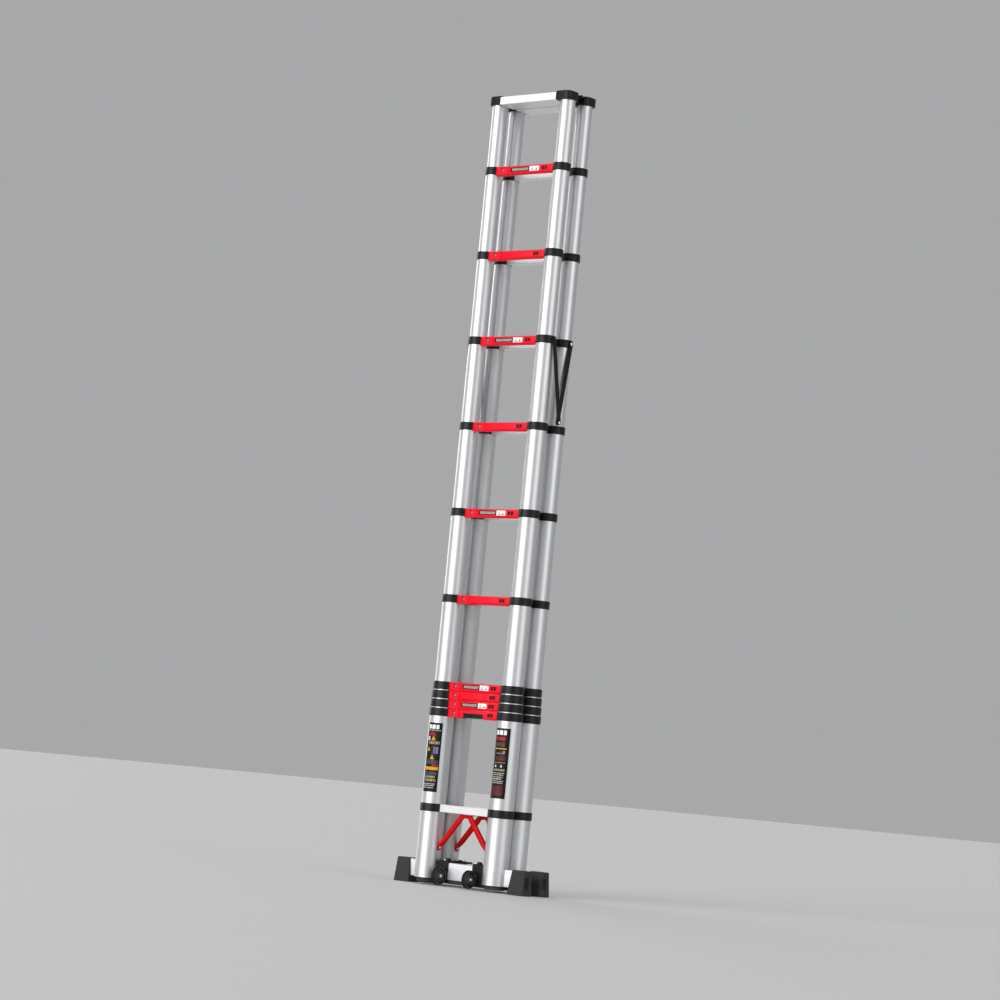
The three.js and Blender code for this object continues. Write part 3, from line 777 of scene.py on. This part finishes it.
def make_stabiliser(end, rail_y):
    """The rectangular bar, its clamps, the skid strip below it and the tubes' plugs."""
    (x0, x1), (y0, y1), (z0, z1) = BAR[end]
    body = body_of(end, 1)
    y = (y0 + y1) / 2
    outer = rounded_box((y0, y1), (z0, z1), 2.5)
    inner = rounded_box((y0 + 2, y1 - 2), (z0 + 2, z1 - 2), 0.8)
    rings = [[(x, *p) for p in ring]
             for ring, x in ((outer, x0), (outer, x1), (inner, x1), (inner, x0))]
    Shape(EXTRUDED).loft(rings, closed=True).done(
        f"{end}_stabiliser", body, "aluminium", [f"{end}_stabiliser_bar"])

    clamps, fittings, bolts = Shape(BLACK), Shape(BLACK), Shape(ZINC)
    for side in (-1, 1):
        x = sorted(side * b for b in BRACKET_X)
        clamps.box(x, (y - 18.5, y + 18.5), (10, 86), 1.8, 2.2)
        fittings.box((x[0] + 4, x[1] - 4), (y - 19.4, y - 16), (60, 80), 0.6, 1.0)
        bolt_x = side * 69.5 - (5.0 if end == "front" else 0.0)
        fittings.turn((bolt_x, y - 11.5, 85.5), "z", [(7.5, 0), (7.5, 1.4), (6.6, 2.0)], steps=6)
        dome(bolts, (bolt_x, y - 11.5, 87.4), "z", 1, 4.4, 4.6)
        if end == "front":
            fittings.turn((bolt_x + 10.5, y - 5, 85.5), "z",
                          [(9.5, 0), (9.5, 4.5), (8.6, 7.0), (6.4, 8.6), (3.0, 9.2)], steps=32)
        else:
            fittings.turn((side * 88, y - 9, 85.5), "z", [(7, 0), (7, 3.2), (5.6, 4.4)], steps=28)
    hub_y, hub_z = wheel_centre()
    if end == "front":
        for side in (-1, 1):
            x = side * 67.0
            clamps.cut(Shape().box((x - 9.2, x + 9.2), (y - 22, y - 13.5), (8, hub_z + 19)))
            arm = (x - 12, x - 9)
            fittings.box(arm, (hub_y, y - 17.5), (hub_z - 8, hub_z + 8), 0.6, 0.8)
            boss = [(7.4, arm[0]), (8, arm[0] + 0.6), (8, arm[1] - 0.6), (7.4, arm[1])]
            fittings.turn((0, hub_y, hub_z), "x", boss, steps=32)
            bolts.turn((x, hub_y, hub_z), "x", [(3.6, -13.5), (3.6, 9.0)], steps=24)
            dome(bolts, (x + 8.6, hub_y, hub_z), "x", 1, 4.3, 5.4)
            bolts.turn((x, hub_y, hub_z), "x", [(6.2, -12), (6.2, -15.5), (5.2, -16.2)], steps=6)
    clamps.done(f"{end}_clamps", body, "black_plastic", bevel=0.5)
    fittings.done(f"{end}_clamp_fittings", body, "black_plastic")
    bolts.done(f"{end}_clamp_bolts", body, "aluminium")

    skid = Shape(RUBBER)
    skid.box((-BRACKET_X[0] - 0.5, BRACKET_X[0] + 0.5), (y - 11, y + 11), (9, z0 + 0.3), 1.0, 1.5)
    for side in (-1, 1):
        plug = [(33, 8), (35, 9.2), (35, 17.5), (37.5, 18.5), (37.5, 21.8)]
        skid.turn((side * RAIL_X, rail_y, 0), "z", plug, steps=56)
    skid.done(f"{end}_skid_and_plugs", body, "black_rubber")


def wheel_centre():
    """y and z of the axle that both wheels share."""
    _, y, z = spans("wheel_left")
    return middle(y), middle(z)


def make_wheel(side):
    """A small transport wheel: three raised rings on each face, painted grey as a highlight, and
    fine ribs across the tread.
    """
    name = "left" if side < 0 else "right"
    x = middle(spans(f"wheel_{name}")[0])
    y, z = wheel_centre()
    half = [(5.2, 6.8), (11.5, 6.8), (12.5, 7.8), (16.0, 7.8), (17.0, 6.2), (22.5, 6.2),
            (23.5, 7.6), (28.0, 7.9), (30.2, 6.4), (31.0, 4.2), (31.0, 1.4), (30.2, 0.8)]
    profile = [(r, -h) for r, h in half] + [(r, h) for r, h in reversed(half)]
    wheel = Shape(TYRE).turn((x, y, z), "x", profile, hollow=True)
    for way in (-1, 1):
        # the ring ridges take a grey finish as a painted highlight
        for inner, outer, high in ((9.2, 10.6, 8.8), (16.6, 17.6, 8.5), (26.6, 27.8, 8.4)):
            ring = [(inner, 6.0), (inner, high - 0.5), (inner + 0.5, high), (outer - 0.5, high),
                    (outer, high - 0.5), (outer, 6.0)]
            wheel.turn((x, y, z), "x", [(r, way * h) for r, h in ring], hollow=True,
                       finish=RIDGE_HIGHLIGHT, steps=48)
    for i in range(36):
        a = 2 * math.pi * i / 36
        cy, cz = y + 30.6 * math.cos(a), z + 30.6 * math.sin(a)
        wheel.turn((x, cy, cz), "x", [(0.55, -5.2), (0.55, 5.2)], steps=6)
    wheel.done(f"wheel_{name}_tyre", f"wheel_{name}", "black_rubber", [f"wheel_{name}"], angle=28)


def make_foot(end, side):
    """A flared rubber foot: a pocket takes the bar, a panel is sunk in its outer side."""
    name = "left" if side < 0 else "right"
    node = f"{end}_foot_{name}"
    (x0, x1), (y0, y1), (_, top) = spans(node)
    y = (y0 + y1) / 2
    wide, deep = (219.5, 286.5), (y1 - y0) / 2      # x range and half depth at the bottom
    slim, thin = (228.0, 284.5), 18.0               # and at the top

    def level(height, inset):
        """The foot's outline at a height, drawn in by inset."""
        share = height / top
        inner = wide[0] + (slim[0] - wide[0]) * share + inset
        outer = wide[1] + (slim[1] - wide[1]) * share - inset
        half = deep + (thin - deep) * share - inset
        x = sorted((side * inner, side * outer))
        return [(*p, height) for p in rounded_box(x, (y - half, y + half), 3.0, 4)]

    foot = Shape(RUBBER).loft([level(0, 0.8), level(0.8, 0), level(10, 0), level(40, 0),
                               level(top - 2.2, 0), level(top, 2.0)])
    bar_x, bar_y, bar_z = BAR[end]
    pocket = sorted((side * (wide[0] - 3), side * (bar_x[1] + 0.3)))
    foot.cut(Shape().box(pocket, (bar_y[0] - 0.3, bar_y[1] + 0.3),
                         (bar_z[0] - 0.3, bar_z[1] + 0.3)))
    rings = []
    for height in (10, 72):
        share = height / top
        sunk = wide[1] + (slim[1] - wide[1]) * share - 1.4
        front = y - (deep + (thin - deep) * share) + 4.5
        corners = ((sunk, front), (sunk + 9, front), (sunk + 9, y + 8), (sunk, y + 8))
        rings.append([(side * x, py, height) for x, py in corners])
    foot.cut(Shape().loft(rings))
    for facing in (-1, 1):
        edge = min(x0, x1) + (6 if side > 0 else 4)
        scoop = [(-9, 0.3), (-6.5, 5), (-3, 8.4), (0, 9.4), (3, 8.4), (6.5, 5), (9, 0.3)]
        lens = [(r, h * 2.6) for h, r in scoop]
        foot.cut(Shape().turn((edge + 1, y + facing * (deep + 1.5), 41), "z", lens, steps=28))
    for i in range(4):
        at = y0 + (y1 - y0) * (i + 1) / 5
        foot.cut(Shape().box((x0 - 2, x1 + 2), (at - 1.2, at + 1.2), (-1, 2.2)))
    foot.done(f"{end}_foot_{name}_rubber", body_of(end, 1), "black_rubber", [node], bevel=0.5)

    insert = Shape(BLACK)
    face = side * 284.0
    insert.box(sorted((face - side * 0.5, face + side * 1.1)), (y - 14, y - 4), (26, 60), 0.3, 1.5)
    insert.box(sorted((face - side * 0.5, face + side * 1.1)), (y - 1, y + 5), (18, 60), 0.3, 1.5)
    dome(insert, (face, y - 9, 43), "x", side, 2.6, 2.4, BLACK)
    insert.done(f"{end}_foot_{name}_panel", body_of(end, 1), "black_rubber")


# ---------------------------------------------------------------- spreaders

def make_spreader(end, out, side):
    """Half of a folding spreader: a steel strap that hangs from the collar's side."""
    name = "left" if side < 0 else "right"
    node = f"{end}_spreader_{name}"
    pivot = frame_joint(f"{node}_pivot")["pos_m"]
    pivot_x, pivot_y, pivot_z = (abs(pivot[0]) / MM, pivot[1] / MM, pivot[2] / MM)
    drop, across = 280.0, abs(pivot_y - MID_Y)
    length = math.hypot(drop, across)
    foot_x = 206.0 if out < 0 else 199.0
    down = Vector((0, -out * across / length, -drop / length))
    wide = Vector((0, down[2], -down[1]))

    def place(s, t, height):
        x = side * (pivot_x + (foot_x - pivot_x) * s / length + height)
        return (x, pivot_y + down[1] * s + wide[1] * t, pivot_z + down[2] * s + wide[2] * t)

    half, edge = 1.5, 0.4
    strap = Shape(STRAP)
    outline = stadium(length, 9.0)
    rings = []
    for height, inset in ((-half, edge), (-half + edge, 0), (half - edge, 0), (half, edge)):
        rings.append([place(s * (1 - 2 * inset / length) + inset, t * (1 - inset / 9), height)
                      for s, t in outline])
    strap.loft(rings)
    rib = [[place(s, t, h) for s, t in rounded_box((30, length - 30), (-w, w), w * 0.9, 4)]
           for h, w in ((half - 0.3, 3.2), (half + 0.5, 2.4))]
    strap.loft(rib)
    top = (side * pivot_x, pivot_y, pivot_z)
    strap.turn(top, "x", [(5.2, side * (-half + 0.2)), (5.2, side * -3.9)], steps=28)
    strap.done(f"{node}_strap", node, "black_steel", [node])

    bolts = Shape(ZINC)
    dome(bolts, (top[0] + side * half, top[1], top[2]), "x", side, 4.4, 3.6,
         STRAP if out < 0 else ZINC)
    end_at = place(length, 0, 0)
    if out < 0:
        bolts.turn(end_at, "x", [(3.6, side * -1.2), (3.6, side * -5.0)], steps=24)
        dome(bolts, (end_at[0] + side * half, end_at[1], end_at[2]), "x", side, 4.2, 3.2)
    else:
        dome(bolts, (end_at[0] - side * half, end_at[1], end_at[2]), "x", -side, 3.6, 2.4)
    bolts.done(f"{node}_bolts", node, "aluminium")


def frame_joint(name):
    """A joint's row in the frame."""
    return next(joint for joint in frame["joints"] if joint["name"] == name)


# ---------------------------------------------------------------- the two ladders

for end, out, rail_y in (("front", -1, FRONT_Y), ("rear", 1, REAR_Y)):
    for stage in range(1, STAGES + 1):
        for side in (-1, 1):
            make_tube(end, rail_y, stage, side)
        if stage < STAGES:
            node = frame_node(end, f"front_rung_{stage:02d}", stage)
            make_collars(end, rail_y, stage, RUNG_Z[stage], True,
                         f"{end}_{stage:02d}_collars", [node])
            lip = HALF_RUNG - 1.0 - COVER_BACK if end == "rear" else 0.0
            make_profile(end, out, rail_y, stage, RUNG_Z[stage], COVER_BACK + 0.4,
                         f"{end}_{stage:02d}_rung", [node], lip)
            make_cover(end, out, rail_y, stage)
    lower = frame_node(end, "front_lower_rung", 1)
    make_collars(end, rail_y, 1, LOWER_Z, False, f"{end}_lower_collars", [lower])
    make_profile(end, out, rail_y, 1, LOWER_Z, HALF_RUNG, f"{end}_lower_rung_profile", [lower])
    make_top(end, out, rail_y)
    make_release(end, out)
    make_braces(end, rail_y)
    make_stabiliser(end, rail_y)
    for side in (-1, 1):
        make_foot(end, side)
        make_spreader(end, out, side)
for side in (-1, 1):
    make_label(side)
    make_wheel(side)


# ---------------------------------------------------------------- floor, light and camera

def make_floor():
    """A wide pale disc, just under the feet."""
    mesh = bpy.data.meshes.new("floor")
    bm = bmesh.new()
    bmesh.ops.create_circle(bm, cap_ends=True, radius=40, segments=96)
    bm.to_mesh(mesh)
    bm.free()
    pale = make_finish("pale_floor", rgb(226, 226, 224), 0.7, 0.0, (30, 30, 30), 0.01, 0.03)
    mesh.materials.append(pale)
    floor = bpy.data.objects.new("floor", mesh)
    floor.location.z = -0.0005
    bpy.context.scene.collection.objects.link(floor)


def make_light(name, azimuth, height, power, softness):
    """A soft far light: azimuth counts from the front (-Y) towards +X, height above level."""
    lamp = bpy.data.lights.new(name, "SUN")
    lamp.energy, lamp.angle = power, math.radians(softness)
    light = bpy.data.objects.new(name, lamp)
    a, h = math.radians(azimuth), math.radians(height)
    towards = Vector((math.sin(a) * math.cos(h), -math.cos(a) * math.cos(h), math.sin(h)))
    light.location = towards * 6
    light.rotation_mode = "QUATERNION"
    light.rotation_quaternion = (-towards).to_track_quat("-Z", "Y")
    bpy.context.scene.collection.objects.link(light)


def make_world(color, strength):
    """An even light from all round, which is the backdrop too."""
    world = bpy.data.worlds.new("studio")
    world.use_nodes = True
    background = world.node_tree.nodes["Background"]
    background.inputs["Color"].default_value = color
    background.inputs["Strength"].default_value = strength
    bpy.context.scene.world = world


CAMERA_TURN = (40.128, -5.168, 5.424)  # degrees: azimuth from the front, height above level, roll
CAMERA_FAR = 10.2707                   # metres from its target
AIM_HIGH, AIM_LEFT = 1.33235, 0.0179   # the target's height, and how far left of the ladder it is
LENS_MM, SENSOR_MM = 107.445, 36.0


def make_camera():
    """A far camera that looks slightly up and is rolled a little."""
    azimuth, elevation, roll = (math.radians(d) for d in CAMERA_TURN)
    level = math.cos(elevation)
    back = Vector((math.sin(azimuth) * level, -math.cos(azimuth) * level, math.sin(elevation)))
    right = Vector((0, 0, 1)).cross(back).normalized()
    up = back.cross(right)
    right, up = (math.cos(roll) * right + math.sin(roll) * up,
                 math.cos(roll) * up - math.sin(roll) * right)
    lens = bpy.data.cameras.new("camera")
    lens.lens, lens.sensor_width = LENS_MM, SENSOR_MM
    lens.clip_start, lens.clip_end = 0.1, 200
    camera = bpy.data.objects.new("camera", lens)
    target = Vector((0, MID_Y * MM, AIM_HIGH)) - right * AIM_LEFT
    camera.location = target + back * CAMERA_FAR
    camera.rotation_mode = "QUATERNION"
    from_axes = [[right[i], up[i], back[i]] for i in range(3)]
    camera.rotation_quaternion = Matrix(from_axes).to_quaternion()
    bpy.context.scene.collection.objects.link(camera)
    bpy.context.scene.camera = camera


make_floor()
make_light("key", -7, 14, 2.1, 46)
make_light("side", 84, 14, 0.62, 40)
make_light("back", 258, 18, 0.9, 46)
make_world((0.63, 0.635, 0.645, 1), 0.62)
make_camera()
bpy.context.scene.view_settings.view_transform = "Standard"
